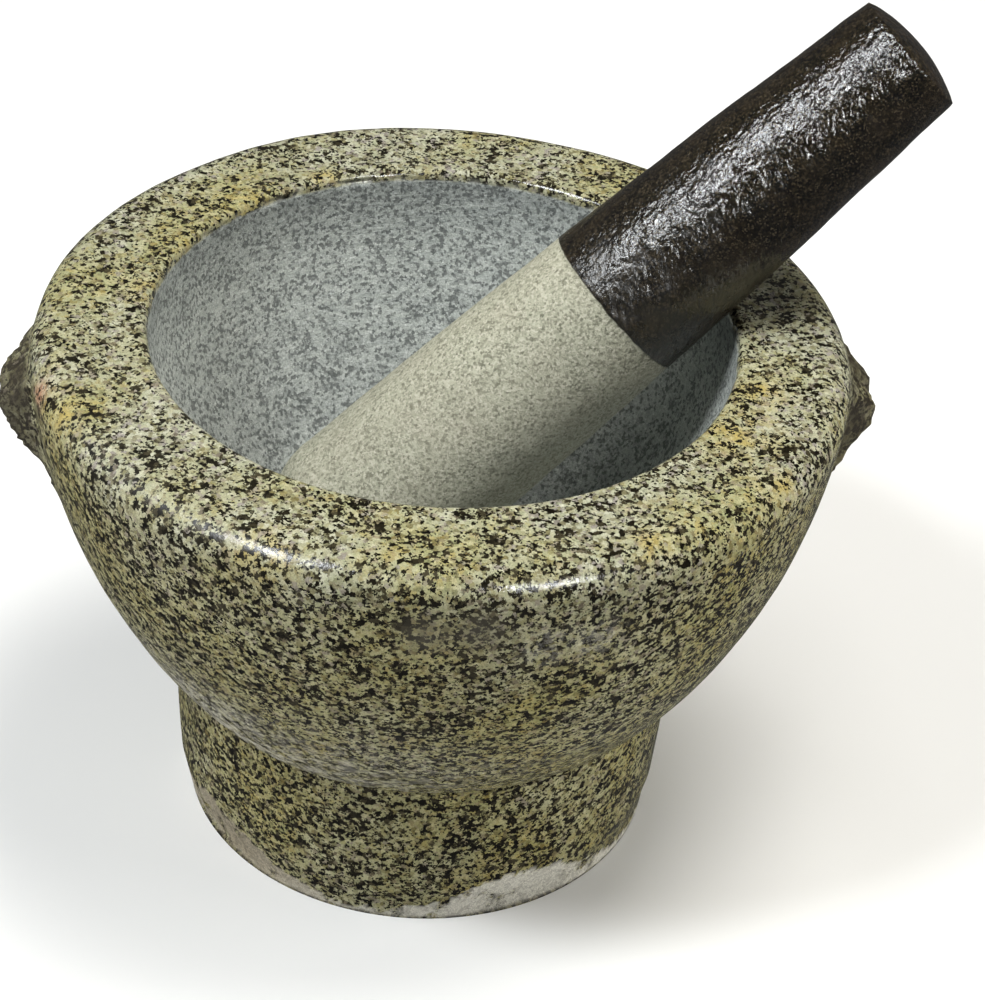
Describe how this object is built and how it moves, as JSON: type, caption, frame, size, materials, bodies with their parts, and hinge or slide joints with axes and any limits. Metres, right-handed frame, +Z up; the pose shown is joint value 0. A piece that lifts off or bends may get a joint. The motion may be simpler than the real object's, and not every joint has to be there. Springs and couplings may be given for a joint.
{
  "type": "granite mortar and pestle",
  "caption": "Heavy carved granite mortar on a short round foot, with a deep bowl, a wide rounded rim and rough side lugs, and a loose tapering pestle leaning in the bowl.",
  "frame": {"origin": "middle of the flat underside of the mortar's foot, on the surface that it stands on", "axes": "+Z up along the axis of the mortar, +X towards one of the two lugs, -Y towards the front"},
  "size_m": [0.2289, 0.2, 0.2156],
  "materials": {
    "granite": "polished outside, honed in the bowl, ground round the foot",
    "pestle_stone": "honed lower half, polished dark upper half"
  },
  "bodies": {
    "mortar": {"mortar": "granite"},
    "pestle": {"pestle": "pestle_stone"}
  },
  "joints": [
    {"name": "pestle_lift", "type": "slide", "parent": "mortar", "child": "pestle", "axis": [0, 0, 1], "range_m": [0, 0.12]}
  ]
}
